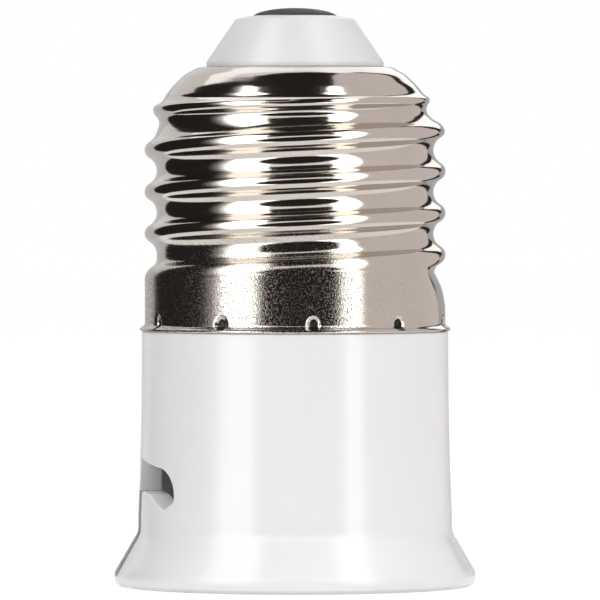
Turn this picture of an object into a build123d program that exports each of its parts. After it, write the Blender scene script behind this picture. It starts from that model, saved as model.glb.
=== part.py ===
"""Lamp socket adapter: a screw cap on top, a bayonet socket with a flared mouth below.

Millimetres. The origin is the centre of the rim's foot, and +Z runs up to the centre contact.
Angles are measured from +X, counter-clockwise seen from above.
"""

import os
from math import atan2, cos, degrees, radians, sin

from build123d import *

os.makedirs("parts", exist_ok=True)

# Screw cap: a shell rolled from sheet, with a round thread that rises to the right
sheet = 0.3
thread_pitch = 3.629
thread_crest_radius = 13.08
thread_depth = 1.05
thread_start_cover = 0.425  # how far the ridge's start, on the +X side, lies below the skirt's top
thread_turns = 4.25
run_out_turns = 0.75
run_out_drop = 2.3
crest_width = 0.8
ridge_knee_width = 1.85
ridge_knee_depth = 0.4
ridge_foot_width = 2.95
ridge_root_cover = 0.15
skirt_cover = 0.02
skirt_height = 4.9
skirt_blend_height = 1.1
lip_flare = 0.4
lip_height = 0.45
core_height = 18.9
shoulder_height = 4.0
shoulder_taper_rise = 1.4
shoulder_taper_inset = 0.68
shoulder_knee_drop = 1.15
shoulder_knee_radius = 10.15
end_face_radius = 8.2
end_hole_radius = 6.8

# Crimp marks that lock the skirt to the neck
crimp_count = 10
crimp_first_angle = 25.0
crimp_height = 0.9  # centre of each mark above the skirt's edge
crimp_tall = 1.2
crimp_wide = 1.2
crimp_depth = 0.45

# Socket body
body_height = 22.2
body_top_radius = 13.32
body_foot_radius = 13.65
flare_height = 5.1
flare_knee_height = 3.8
flare_knee_out = 0.48
rim_shoulder_height = 1.8
rim_shoulder_inset = 0.34
rim_radius = 15.72
rim_edge_height = 0.8
rim_edge_bevel = 0.45
foot_outer_radius = 14.85
foot_inner_radius = 14.3
bore_radius = 11.6
bore_mouth_height = 4.9
bore_step_height = 12.2
bore_step = 0.3
floor_drop = 2.6  # underside of the floor below the shoulder that carries the skirt
floor_thickness = 1.8
neck_height = 5.0
neck_wall = 1.7
neck_edge_chamfer = 0.4
neck_clearance = 0.05

# Bayonet slots: straight entry, sloping turn, seat dropped to a blunt point
slot_count = 2
slot_pull_angle = 199.0
slot_entry_angle = 185.5
slot_seat_angle = 213.5
slot_ledge_angle = 201.0  # where the ledge ends and the slope down to the seat begins
slot_entry_width = 2.8
slot_seat_width = 2.64
slot_rim_ring = 1.1
slot_entry_top = 11.43
slot_seat_top = 10.19
slot_ledge_entry = 8.4
slot_ledge_seat = 8.2
slot_seat_floor = 6.9
slot_seat_rise = 0.75  # from the seat's lowest line up to the foot of its end wall
slot_turn_radius = 2.45
slot_corner_radius = 0.4

# Contact carrier, the moulded insert that closes the socket
carrier_clearance = 0.1
carrier_thickness = 2.6
carrier_edge_chamfer = 0.5

# Sprung contacts
contact_spacing = 10.4
sleeve_radius = 2.75
sleeve_wall = 0.5
sleeve_proud = 0.1
sleeve_lip = 0.5
sleeve_end_thickness = 0.5
sleeve_fit = 0.02
sleeve_floor_clearance = 0.2
plunger_fit = 0.05
plunger_stroke = 4.3
plunger_pressed_proud = 0.2  # what still stands out of the carrier at full stroke
plunger_guide_length = 2.5
plunger_nose = 0.6
plunger_flat_radius = 1.0
spring_pressed_space = 3.2
spring_turns = 3.0
spring_wire = 0.5
spring_clearance = 0.2

# Screw that holds the carrier to the floor
screw_radius = 1.05
screw_head_radius = 1.75
screw_head_height = 1.2
screw_length = 7.0
screw_recess_depth = 0.3
screw_clearance = 0.1
screw_thread_fit = 0.02
screw_boss_radius = 2.0
screw_boss_height = 4.2
cross_span = 1.9
cross_width = 0.45
cross_depth = 0.6

# Cap insulator and centre contact
insulator_radius = 7.7
insulator_lip = 0.55
insulator_top_radius = 5.25
insulator_height = 4.5
insulator_edge_bevel = 0.4
insulator_flange_radius = 7.8
insulator_flange_thickness = 1.2
insulator_fit = 0.05
contact_head_radius = 3.65
contact_dome = 0.8
contact_knee_radius = 2.6
contact_knee_rise = 0.55
contact_flat_radius = 1.3
contact_shank_radius = 1.0
contact_shank_clearance = 0.05
contact_shank_stub = 1.2

# Leads
lead_radius = 0.65
lead_clearance = 0.15
live_lead_drop = 4.5
live_lead_rise = 4.5
neutral_lead_depth = 1.3
lead_bend_share = 0.45

# Heights and radii that follow from the sizes above
skirt_radius = thread_crest_radius + skirt_cover
skirt_bore = skirt_radius - sheet
root_radius = thread_crest_radius - thread_depth
skirt_top = body_height + skirt_height
thread_first_crest = skirt_top - thread_start_cover - ridge_foot_width / 2
core_top = body_height + core_height
shell_top = core_top + shoulder_height
neck_radius = skirt_bore - neck_clearance
neck_bore = neck_radius - neck_wall
neck_top = body_height + neck_height
floor_height = body_height - floor_drop
floor_top = floor_height + floor_thickness
upper_bore = bore_radius - bore_step
carrier_radius = upper_bore - carrier_clearance
carrier_face = floor_height - carrier_thickness
neutral_angle = slot_seat_angle + 90
live_angle = neutral_angle - 180
contact_offset = contact_spacing / 2
sleeve_mouth = carrier_face - sleeve_proud
sleeve_bore = sleeve_radius - sleeve_wall
plunger_guide_radius = sleeve_bore - plunger_fit
plunger_pin_radius = plunger_guide_radius - sleeve_lip
plunger_tip = carrier_face - plunger_pressed_proud - plunger_stroke
plunger_seat = sleeve_mouth + sleeve_lip
plunger_back = plunger_seat + plunger_guide_length
spring_space = spring_pressed_space + plunger_stroke
spring_end = plunger_back + spring_space
sleeve_end = spring_end + sleeve_end_thickness
insulator_top = shell_top + insulator_height
contact_shank_end = shell_top - sheet - insulator_flange_thickness - contact_shank_stub
screw_seat = carrier_face + screw_recess_depth + screw_head_height


def upright_plane(angle):
    """Upright plane through the axis: x runs out at this angle, y runs up."""
    out = (cos(radians(angle)), sin(radians(angle)), 0)
    return Plane(origin=(0, 0, 0), x_dir=out, z_dir=(out[1], -out[0], 0))


def facing_plane(angle):
    """Upright plane through the axis that faces out at this angle, y runs up."""
    out = (cos(radians(angle)), sin(radians(angle)), 0)
    return Plane(origin=(0, 0, 0), x_dir=(-out[1], out[0], 0), z_dir=out)


def spot(angle, radius, height):
    """Point at this angle, distance from the axis and height."""
    return (radius * cos(radians(angle)), radius * sin(radians(angle)), height)


def contact_plane(angle):
    """Upright plane on the axis of the sprung contact at this angle."""
    return Plane(origin=spot(angle, contact_offset, 0), x_dir=(1, 0, 0), z_dir=(0, -1, 0))


def contact_axis(angle):
    """Axis of the sprung contact at this angle."""
    return Axis(spot(angle, contact_offset, 0), (0, 0, 1))


def bend_radii(points):
    """Largest tangent arcs that the runs of a lead allow, one for each corner."""
    radii = []
    for before, corner, after in zip(points, points[1:], points[2:]):
        run_in = Vector(*corner) - Vector(*before)
        run_out = Vector(*after) - Vector(*corner)
        half_turn = radians(run_in.get_angle(run_out) / 2)
        shorter = min(run_in.length, run_out.length)
        radii.append(lead_bend_share * shorter * cos(half_turn) / sin(half_turn))
    return radii


def shell_profile(inset):
    """Half section of the shell's core, moved in by a sheet thickness for the inside."""
    skirt = skirt_radius - inset
    root = root_radius - inset
    top = shell_top - inset
    with BuildSketch(Plane.XZ) as profile:
        with BuildLine():
            Polyline(
                (0, body_height),
                (skirt + lip_flare, body_height),
                (skirt, body_height + lip_height),
                (skirt, skirt_top),
                (root, skirt_top + skirt_blend_height),
                (root, core_top),
                (root - shoulder_taper_inset, core_top + shoulder_taper_rise),
                (shoulder_knee_radius - inset, top - shoulder_knee_drop),
                (end_face_radius - inset, top),
                (0, top),
                close=True,
            )
        make_face()
    return profile.sketch


def ridge_section(plane, height):
    """Section of the thread's ridge at this height, with its foot sunk below the root."""
    flank = (ridge_foot_width - ridge_knee_width) / 2 / (thread_depth - ridge_knee_depth)
    foot = ridge_foot_width / 2 + ridge_root_cover * flank
    knee = thread_crest_radius - ridge_knee_depth
    base = root_radius - ridge_root_cover
    with BuildSketch(plane) as section:
        with BuildLine():
            Polyline(
                (base, height - foot),
                (knee, height - ridge_knee_width / 2),
                (thread_crest_radius, height - crest_width / 2),
                (thread_crest_radius, height + crest_width / 2),
                (knee, height + ridge_knee_width / 2),
                (base, height + foot),
                close=True,
            )
        make_face()
    return section.sketch


def crimp_section(angle, face, edge):
    """Wedge of one crimp mark: deepest at its top, standing proud of the face it is pressed into."""
    low = body_height + crimp_height - crimp_tall / 2
    top = body_height + crimp_height + crimp_tall / 2 + edge
    proud = sheet / 2
    with BuildSketch(upright_plane(angle)) as section:
        with BuildLine():
            Polyline(
                (face + proud, low),
                (face + proud, top),
                (face - crimp_depth, top),
                (face, low),
                close=True,
            )
        make_face()
    return section.sketch


def slot_across(angle):
    """Distance across the pull direction of a point on the wall at this angle."""
    return body_foot_radius * sin(radians(angle - slot_pull_angle))


# Screw shell
run_out_angle = 360 * thread_turns
run_out_start = thread_first_crest + thread_turns * thread_pitch
run_out_height = run_out_turns * thread_pitch
run_out_cone = degrees(atan2(run_out_drop, run_out_height))
thread_path = Helix(
    thread_pitch, thread_turns * thread_pitch, thread_crest_radius, center=(0, 0, thread_first_crest)
)
run_out_path = Helix(
    thread_pitch / cos(radians(run_out_cone)),
    run_out_height,
    thread_crest_radius,
    center=(0, 0, run_out_start),
    cone_angle=-run_out_cone,
).rotate(Axis.Z, run_out_angle)
crimp_angles = [crimp_first_angle + 360 * mark / crimp_count for mark in range(crimp_count)]

with BuildPart() as screw_shell:
    revolve(shell_profile(0), axis=Axis.Z)
    sweep(ridge_section(Plane.XZ, thread_first_crest), path=thread_path, is_frenet=True)
    sweep(ridge_section(upright_plane(run_out_angle), run_out_start), path=run_out_path, is_frenet=True)
    revolve(shell_profile(sheet), axis=Axis.Z, mode=Mode.SUBTRACT)
    with BuildSketch(Plane.XY.offset(shell_top)):
        Circle(end_hole_radius)
    extrude(amount=-sheet, mode=Mode.SUBTRACT)
    for angle in crimp_angles:
        extrude(crimp_section(angle, skirt_bore, sheet), amount=crimp_wide / 2 + sheet, both=True)
    for angle in crimp_angles:
        extrude(
            crimp_section(angle, skirt_radius, 0), amount=crimp_wide / 2, both=True, mode=Mode.SUBTRACT
        )
screw_shell.part.label = "screw_shell"

# Socket body: the turned form, then the floor's boss and holes, the slots, the lead's notch and the pockets
notch_half_width = lead_radius + lead_clearance
notch_height = neck_top - neutral_lead_depth
slot_entry = slot_across(slot_entry_angle)
slot_seat = slot_across(slot_seat_angle)
slot_ledge = slot_across(slot_ledge_angle)
slot_ends = slot_entry_width / 2
seat_ends = slot_seat_width / 2

with BuildPart() as socket_body:
    with BuildSketch(Plane.XZ):
        with BuildLine():
            Polyline(
                (foot_inner_radius, 0),
                (foot_outer_radius, 0),
                (rim_radius, rim_edge_bevel),
                (rim_radius, rim_edge_height),
                (rim_radius - rim_shoulder_inset, rim_shoulder_height),
                (body_foot_radius + flare_knee_out, flare_knee_height),
                (body_foot_radius, flare_height),
                (body_top_radius, body_height),
                (neck_radius, body_height),
                (neck_radius, neck_top - neck_edge_chamfer),
                (neck_radius - neck_edge_chamfer, neck_top),
                (neck_bore, neck_top),
                (neck_bore, floor_top),
                (0, floor_top),
                (0, floor_height),
                (upper_bore, floor_height),
                (upper_bore, bore_step_height),
                (bore_radius, bore_step_height),
                (bore_radius, bore_mouth_height),
                close=True,
            )
        make_face()
    revolve(axis=Axis.Z)
    with BuildSketch(Plane.XY.offset(floor_top)):
        Circle(screw_boss_radius)
    extrude(amount=screw_boss_height)
    with BuildSketch(Plane.XY.offset(floor_height)):
        with PolarLocations(contact_offset, 2, start_angle=neutral_angle):
            Circle(sleeve_radius + sleeve_floor_clearance)
        Circle(screw_radius + screw_thread_fit)
    extrude(amount=floor_thickness + screw_boss_height, mode=Mode.SUBTRACT)
    for turn in range(slot_count):
        with BuildSketch(facing_plane(slot_pull_angle + 360 * turn / slot_count)):
            with BuildLine():
                FilletPolyline(
                    (slot_entry - slot_ends, slot_rim_ring),
                    (slot_entry - slot_ends, slot_entry_top),
                    (slot_seat + seat_ends, slot_seat_top),
                    (slot_seat + seat_ends, slot_seat_floor + slot_seat_rise),
                    (slot_seat, slot_seat_floor),
                    (slot_ledge, slot_ledge_seat),
                    (slot_entry + slot_ends, slot_ledge_entry),
                    (slot_entry + slot_ends, slot_rim_ring),
                    radius=[0, slot_corner_radius, slot_turn_radius] + [slot_corner_radius] * 4 + [0],
                    close=True,
                )
            make_face()
        extrude(amount=rim_radius, mode=Mode.SUBTRACT)
    with BuildSketch(facing_plane(neutral_angle).offset(contact_offset)):
        with Locations((0, neck_top)):
            Rectangle(2 * notch_half_width, 2 * (neutral_lead_depth + notch_half_width))
    extrude(amount=neck_radius - contact_offset, mode=Mode.SUBTRACT)
    for angle in crimp_angles:
        extrude(
            crimp_section(angle, neck_radius, sheet + neck_clearance),
            amount=crimp_wide / 2 + sheet + neck_clearance,
            both=True,
            mode=Mode.SUBTRACT,
        )
socket_body.part.label = "socket_body"

# Contact carrier
with BuildPart() as contact_carrier:
    with BuildSketch(Plane.XY.offset(carrier_face)):
        Circle(carrier_radius)
    extrude(amount=carrier_thickness)
    chamfer(contact_carrier.edges().sort_by(Axis.Z)[0], carrier_edge_chamfer)
    with BuildSketch(Plane.XY.offset(carrier_face)):
        with PolarLocations(contact_offset, 2, start_angle=neutral_angle):
            Circle(sleeve_radius + sleeve_fit)
        Circle(screw_radius + screw_clearance)
    extrude(amount=carrier_thickness, mode=Mode.SUBTRACT)
    with BuildSketch(Plane.XY.offset(carrier_face)):
        Circle(screw_head_radius + screw_clearance)
    extrude(amount=screw_seat - carrier_face, mode=Mode.SUBTRACT)
contact_carrier.part.label = "contact_carrier"

# Screw through the carrier into the floor's boss
with BuildPart() as carrier_screw:
    with BuildSketch(Plane.XY.offset(screw_seat)):
        Circle(screw_head_radius)
    extrude(amount=-screw_head_height)
    with BuildSketch(Plane.XY.offset(screw_seat)):
        Circle(screw_radius)
    extrude(amount=screw_length)
    with BuildSketch(Plane.XY.offset(screw_seat - screw_head_height)):
        Rectangle(cross_span, cross_width)
        Rectangle(cross_width, cross_span)
    extrude(amount=cross_depth, mode=Mode.SUBTRACT)
carrier_screw.part.label = "carrier_screw"

# Cap insulator
with BuildPart() as tip_insulator:
    plug_radius = end_hole_radius - insulator_fit
    shank_hole = contact_shank_radius + contact_shank_clearance
    under_sheet = shell_top - sheet
    with BuildSketch(Plane.XZ):
        with BuildLine():
            Polyline(
                (insulator_top_radius - insulator_edge_bevel, insulator_top),
                (shank_hole, insulator_top),
                (shank_hole, under_sheet - insulator_flange_thickness),
                (insulator_flange_radius, under_sheet - insulator_flange_thickness),
                (insulator_flange_radius, under_sheet),
                (plug_radius, under_sheet),
                (plug_radius, shell_top),
                (insulator_radius, shell_top),
                (insulator_radius, shell_top + insulator_lip),
                (insulator_top_radius, insulator_top - insulator_edge_bevel),
                close=True,
            )
        make_face()
    revolve(axis=Axis.Z)
tip_insulator.part.label = "tip_insulator"

# Centre contact: a domed rivet through the insulator
with BuildPart() as centre_contact:
    with BuildSketch(Plane.XZ):
        with BuildLine():
            Polyline(
                (0, contact_shank_end),
                (contact_shank_radius, contact_shank_end),
                (contact_shank_radius, insulator_top),
                (contact_head_radius, insulator_top),
                (contact_knee_radius, insulator_top + contact_knee_rise),
                (contact_flat_radius, insulator_top + contact_dome),
                (0, insulator_top + contact_dome),
                close=True,
            )
        make_face()
    revolve(axis=Axis.Z)
centre_contact.part.label = "centre_contact"


def contact_sleeve(angle):
    """Brass sleeve pressed into the carrier, with a rolled-in mouth and a closed end."""
    pin_hole = plunger_pin_radius + plunger_fit
    with BuildPart() as sleeve:
        with BuildSketch(contact_plane(angle)):
            with BuildLine():
                Polyline(
                    (pin_hole, sleeve_mouth),
                    (sleeve_radius, sleeve_mouth),
                    (sleeve_radius, sleeve_end),
                    (0, sleeve_end),
                    (0, spring_end),
                    (sleeve_bore, spring_end),
                    (sleeve_bore, plunger_seat),
                    (pin_hole, plunger_seat),
                    close=True,
                )
            make_face()
        revolve(axis=contact_axis(angle))
    return sleeve.part


def contact_plunger(angle):
    """Plunger: bevelled pin in front, thicker guide behind the sleeve's mouth."""
    with BuildPart() as plunger:
        with BuildSketch(contact_plane(angle)):
            with BuildLine():
                Polyline(
                    (plunger_flat_radius, plunger_tip),
                    (plunger_pin_radius, plunger_tip + plunger_nose),
                    (plunger_pin_radius, plunger_seat),
                    (plunger_guide_radius, plunger_seat),
                    (plunger_guide_radius, plunger_back),
                    (0, plunger_back),
                    (0, plunger_tip),
                    close=True,
                )
            make_face()
        revolve(axis=contact_axis(angle))
    return plunger.part


def contact_spring(angle):
    """Coil spring of square wire between the plunger's back and the sleeve's end."""
    coil_radius = sleeve_bore - spring_clearance - spring_wire / 2
    coil_height = spring_space - spring_wire
    first_coil = plunger_back + spring_wire / 2
    coil_start = spot(angle, contact_offset, first_coil)
    coil = Helix(coil_height / spring_turns, coil_height, coil_radius, center=coil_start)
    with BuildPart() as spring:
        with BuildSketch(contact_plane(angle)):
            with Locations((coil_radius, first_coil)):
                Rectangle(spring_wire, spring_wire)
        sweep(path=coil, is_frenet=True)
    return spring.part


# Live lead: from the rivet's tail down to the closed end of the live sleeve
live_route = [
    (0, 0, contact_shank_end),
    (0, 0, contact_shank_end - live_lead_drop),
    spot(live_angle, contact_offset, sleeve_end + live_lead_rise),
    spot(live_angle, contact_offset, sleeve_end),
]
with BuildPart() as live_lead:
    with BuildLine() as live_path:
        FilletPolyline(*live_route, radius=bend_radii(live_route))
    with BuildSketch(Plane.XY.offset(contact_shank_end)):
        Circle(lead_radius)
    sweep(path=live_path.wire())
live_lead.part.label = "live_lead"

# Neutral lead: from the side of the neutral sleeve straight out through the notch to the skirt
with BuildPart() as neutral_lead:
    with BuildSketch(facing_plane(neutral_angle).offset(contact_offset)):
        with Locations((0, notch_height)):
            Circle(lead_radius)
    extrude(amount=skirt_bore - neck_clearance - contact_offset)
    with Locations(spot(neutral_angle, contact_offset, notch_height)):
        Cylinder(sleeve_radius + sleeve_fit, 2 * notch_half_width, mode=Mode.SUBTRACT)
neutral_lead.part.label = "neutral_lead"

pieces = [screw_shell.part, socket_body.part, contact_carrier.part, carrier_screw.part]
pieces += [tip_insulator.part, centre_contact.part, live_lead.part, neutral_lead.part]
makers = {"sleeve": contact_sleeve, "plunger": contact_plunger, "spring": contact_spring}
for side, angle in (("live", live_angle), ("neutral", neutral_angle)):
    for kind, maker in makers.items():
        piece = maker(angle)
        piece.label = f"{side}_{kind}"
        pieces.append(piece)

for piece in pieces:
    export_step(piece, f"parts/{piece.label}.step")
print("live lead bends", [round(bend, 2) for bend in bend_radii(live_route)])
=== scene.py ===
"""Looks of a lamp socket adapter: a nickel screw cap above a white bayonet socket.

Sizes are in millimetres on the part's own axes, and become metres when a mesh is made.
Angles are in degrees from +X, counter-clockwise seen from above; the camera looks along +Y.
A profile is a row of corners (radius, height, rounding), turned about an upright axis.
"""

from math import asin, atan2, ceil, cos, pi, radians, sin, sqrt, tan

import bmesh
import bpy
import numpy as np
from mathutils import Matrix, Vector
from mathutils.geometry import delaunay_2d_cdt


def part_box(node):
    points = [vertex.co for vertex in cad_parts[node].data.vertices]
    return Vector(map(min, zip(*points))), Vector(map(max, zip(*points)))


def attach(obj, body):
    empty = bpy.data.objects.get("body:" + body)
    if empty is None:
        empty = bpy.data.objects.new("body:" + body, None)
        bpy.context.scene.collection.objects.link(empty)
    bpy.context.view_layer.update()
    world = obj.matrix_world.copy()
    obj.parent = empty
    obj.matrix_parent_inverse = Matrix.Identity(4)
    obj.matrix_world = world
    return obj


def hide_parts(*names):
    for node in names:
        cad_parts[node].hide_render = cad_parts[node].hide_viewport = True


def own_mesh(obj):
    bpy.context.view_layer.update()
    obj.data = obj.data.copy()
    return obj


MM = 0.001

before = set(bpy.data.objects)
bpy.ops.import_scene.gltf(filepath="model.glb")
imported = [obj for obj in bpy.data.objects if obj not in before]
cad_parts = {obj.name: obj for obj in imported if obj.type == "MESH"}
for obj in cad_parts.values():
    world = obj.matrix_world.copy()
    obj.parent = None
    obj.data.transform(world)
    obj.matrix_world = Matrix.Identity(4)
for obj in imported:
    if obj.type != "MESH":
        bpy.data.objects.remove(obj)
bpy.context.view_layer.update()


def box_mm(node):
    """Lowest and highest corner of a CAD node, in millimetres."""
    low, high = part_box(node)
    return low / MM, high / MM


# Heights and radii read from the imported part
shell_low, shell_high = box_mm("screw_shell")
_, body_high = box_mm("socket_body")
insulator_low, insulator_high = box_mm("tip_insulator")
contact_low, contact_high = box_mm("centre_contact")
_, carrier_high = box_mm("contact_carrier")
skirt_foot = shell_low.z
shell_top = shell_high.z
lip_radius = shell_high.x
rim_radius = body_high.x
neck_top = body_high.z
floor_height = carrier_high.z
insulator_top = insulator_high.z

# Screw shell: profile
SHEET = 0.3
LIP_FOLD = 0.35  # the lip's foot lies this far inside its edge
LIP_HEIGHT = 0.22
LIP_ROUNDING = 0.1
SKIRT_START = 0.55  # over the foot, where the lip has drawn in to the skirt
SKIRT_START_ROUNDING = 0.25
SKIRT_RADIUS = 13.06
ROOT_RADIUS = 12.03
SKIRT_TAPER = ((SKIRT_RADIUS, 24.4, 3.0), (12.78, 25.9, 4.0), (12.1, 27.3, 0.7))  # up to the first groove
GROOVE_FOOT = (ROOT_RADIUS, 28.1, 0.7)
SHOULDER_FOOT = ((ROOT_RADIUS, 39.5, 1.5), (11.42, 41.0, 1.5), (11.42, 42.45, 1.2))
SHOULDER_TURN = (10.6, 43.5, 4.0)
SHOULDER_EDGE = (9.62, 44.45, 1.6)
END_EDGE_RADIUS = 8.42
END_EDGE_ROUNDING = 0.5
END_INSIDE_RADIUS = 7.9
END_HOLE_RADIUS = 6.8
INSIDE_FOOT = 0.25  # over the foot, where the sheet's inside starts
INSIDE_PLAY = 0.1  # the inside stands back this much behind the crimp marks

# Screw shell: thread
CREST_RADIUS = 13.08
THREAD_PITCH = 3.629
THREAD_START = 25.2  # height of the first crest at +X
THREAD_LAPS = 6  # the last one only in part
CREST_ROUNDING = 0.78  # radius of the crest's arc; the root's arc takes the rest of the pitch
FIRST_ROUNDING = 1.3  # the same where the skirt rolls over into the first groove
FIRST_DROP = 0.4  # and how much lower its crest is there
START_TURNS = (0.08, 0.4)  # the ridge grows out of the skirt between these
FADE_TURNS = (4.4, 5.0, 5.35)  # the ridge is full, then low, then gone
FADE_LOW = 0.3
FADE_WIDTH = 0.4  # share of its width that the ridge keeps to the end
UPPER_TURNS = (4.0, 4.45, 4.8)  # over these the shoulder cuts the ridge's upper side short
UPPER_WIDTHS = (1.0, 0.62, 0.3)
LEVEL_FROM_TURN = 4.3  # from here the crest climbs less and runs out along the shoulder's foot
LEVEL_TURNS = 0.9
FILL_ANGLES = (120.0, 170.0, 322.0, 358.0)  # between the middle two the skirt reaches the first crest
FILL_OVER = 0.1  # over the crest, where the fill has ended
FILL_EDGE = 0.4
BLEND_FROM = 24.3  # skirt and thread are blended above this height
BLEND_RISE = 1.5
BLEND_DEPTH = 0.3
SKIRT_BLEND = 0.06

# Screw shell: crimp marks, each an edge that sinks to a hole whose bottom is painted dark as shade
CRIMP_COUNT = 10
CRIMP_FIRST_ANGLE = 25.0
CRIMP_HALF_WIDTH = 0.7
CRIMP_STRAIGHT = 0.75
CRIMP_TOP = 1.55
CRIMP_FOOT = 0.2
CRIMP_FOOT_SLOPE = 0.35
CRIMP_EDGE = 0.5  # shares of the mark's reach: the edge's slope, the hole and the hole's slope
CRIMP_HOLE = 0.52
CRIMP_HOLE_SLOPE = 0.15
CRIMP_EDGE_DEPTH = 0.15
CRIMP_DEPTH = 0.15
HOLE_SHADE_FROM = 0.05  # share of the crimp's depth from which its bottom is painted dark as shade
HOLE_SHADE_FOOT = 0.15

# Screw shell: fineness of its mesh
SHELL_SPACING = 0.03
CRIMP_ZONE = 1.8  # height over the foot
THREAD_ZONE = (24.8, 43.4)
CRIMP_ROWS = 10.0  # rows of faces for a millimetre along the profile
THREAD_ROWS = 9.0
PLAIN_ROWS = 4.0
SHELL_COLUMNS = 220
CRIMP_COLUMNS = 19  # more at each crimp mark, this far to both sides
CRIMP_REACH = 0.9
ANGLE_DIGITS = 5

# Insulator cone and its rivet
CONE_HOLE = 1.05
CONE_COLLAR = 6.75
CONE_FLANGE = 7.7
CONE_FLANGE_HEIGHT = 0.45
CONE_TOP_CORNERS = ((5.15, 0.3, 0.45), (3.5, 0.0, 0.6))  # (radius, depth under the top, rounding)
CONE_COLUMNS = 192
RIVET_SHANK = 1.0
RIVET_HEAD = 3.6
RIVET_BULGE = (3.3, 0.3)  # radius and height that the head's edge curves towards
RIVET_CROWN = 2.0
RIVET_PIECES = 20
RIVET_COLUMNS = 128
DOME_WEAR = 0.15

# Socket body
BODY_TOP_RADIUS = 13.32
BODY_FOOT_RADIUS = 13.65
BODY_EDGE_START = 0.25  # under the skirt, where the wall ends and its rounded edge starts
BODY_EDGE_ROUNDING = 0.2
FLARE_TOP = 4.75
FLARE_FOOT = 1.2
FLARE_BLEND = 1.7
FLARE_RUN = 1.5
RIM_BLEND = 0.9
RIM_EDGE = 0.8
RIM_PIECES = 8
FOOT_OUTER = 14.9
FOOT_INNER = 14.3
FOOT_EASE = 0.25
FOOT_PIECES = 6
BORE_RADIUS = 11.6
BORE_MOUTH = 4.9
BORE_MOUTH_RUN = 0.8
MOUTH_UPPER = (12.4, 3.45)  # (radius, height) on the mouth's cone
MOUTH_LOWER = (13.9, 0.73)
MOUTH_PIECES = 8
BORE_STEP_HEIGHT = 12.2
UPPER_BORE = 11.3
FLOOR_THICKNESS = 1.8
NECK_RADIUS = 12.73
NECK_WALL = 1.7
NECK_PLAY = 0.08
SCREW_HOLE = 1.07
SCREW_BOSS = 2.0
SCREW_BOSS_HEIGHT = 4.2
SKIN, PAINTED_SHADE = 0, 1  # the moulding's glossy outside, and a duller grey on its inside and the entry's walls that is painted shade
BODY_COLUMNS = 288
BODY_SEAM = -60.0
WALL_PIECES = 30
WALL_ROW = 0.42
HOLE_COLUMNS = 48

# Bayonet slots, cut straight through the wall at their pulls
SLOT_PULLS = (199.0, 19.0)
SLOT_BAND_TOP = 12.6  # the wall is triangulated round the slots up to here
SLOT_BAND_GAP = 0.1
SLOT_ENTRY = -3.19
SLOT_HALF_WIDTH = 1.4
SLOT_FOOT = 1.1
SLOT_SEAT = 3.42
SEAT_HALF_WIDTH = 1.32
SLOT_OUTLINE = (  # (across, height, rounding): up the entry, along the roof, down to the seat and back
    (SLOT_ENTRY - SLOT_HALF_WIDTH, SLOT_FOOT, 0.35),
    (SLOT_ENTRY - SLOT_HALF_WIDTH, 11.43, 0.4),
    (SLOT_SEAT + SEAT_HALF_WIDTH, 10.19, 2.45),
    (SLOT_SEAT + SEAT_HALF_WIDTH, 7.65, 0.4),
    (SLOT_SEAT, 6.9, 0.4),
    (0.476, 8.2, 0.4),
    (SLOT_ENTRY + SLOT_HALF_WIDTH, 8.4, 0.4),
    (SLOT_ENTRY + SLOT_HALF_WIDTH, SLOT_FOOT, 0.35),
)
SLOT_SPACING = 0.2
SLOT_EDGE = 0.15
SLOT_EDGE_STEPS = 4
SLOT_CLEARANCE = 0.18  # no other point of the wall's mesh comes nearer to a slot
SHADE_ACROSS = -1.7  # the entry's walls are painted in shade, in the grey plastic, this far across and up
SHADE_UP = 8.3

# Sprung contacts
CONTACT_OFFSET = 5.2
NEUTRAL_ANGLE = 303.5
LIVE_ANGLE = NEUTRAL_ANGLE - 180
CONTACT_COLUMNS = 96
SLEEVE_RADIUS = 2.75
SLEEVE_BORE = 2.25
SLEEVE_MOUTH = 1.75
SLEEVE_HOLE = 2.95
SLEEVE_END = 0.5
PIN_STEP = 0.5  # the pin is this much thinner than its guide
GUIDE_LENGTH = 2.5
NOSE_FLAT = 1.1
NOSE_EASE = 0.35
NOSE_LENGTH = 1.0
NOSE_PIECES = 14
WIRE_RADIUS = 0.25
COIL_TURNS = 7.0
COIL_CLOSED = 1.0  # turns that lie flat at each end
COIL_STEPS = 420
WIRE_SIDES = 12
WIRE_SMOOTH_ANGLE = 60

# Meshes in general
FINE_STEP = 0.05  # length of an arc's pieces, from fine to coarse
CONE_STEP = 0.08
ARC_STEP = 0.12
FLARE_STEP = 0.15
FEWEST_PIECES = 3
FEWEST_SPACES = 2
HULL_OUTPUT = 0  # triangulate all of the convex hull
SAME_POINT = 1e-6
WELD = 0.002
SLIVER = 0.0005
SMOOTH_ANGLE = 35

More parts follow.
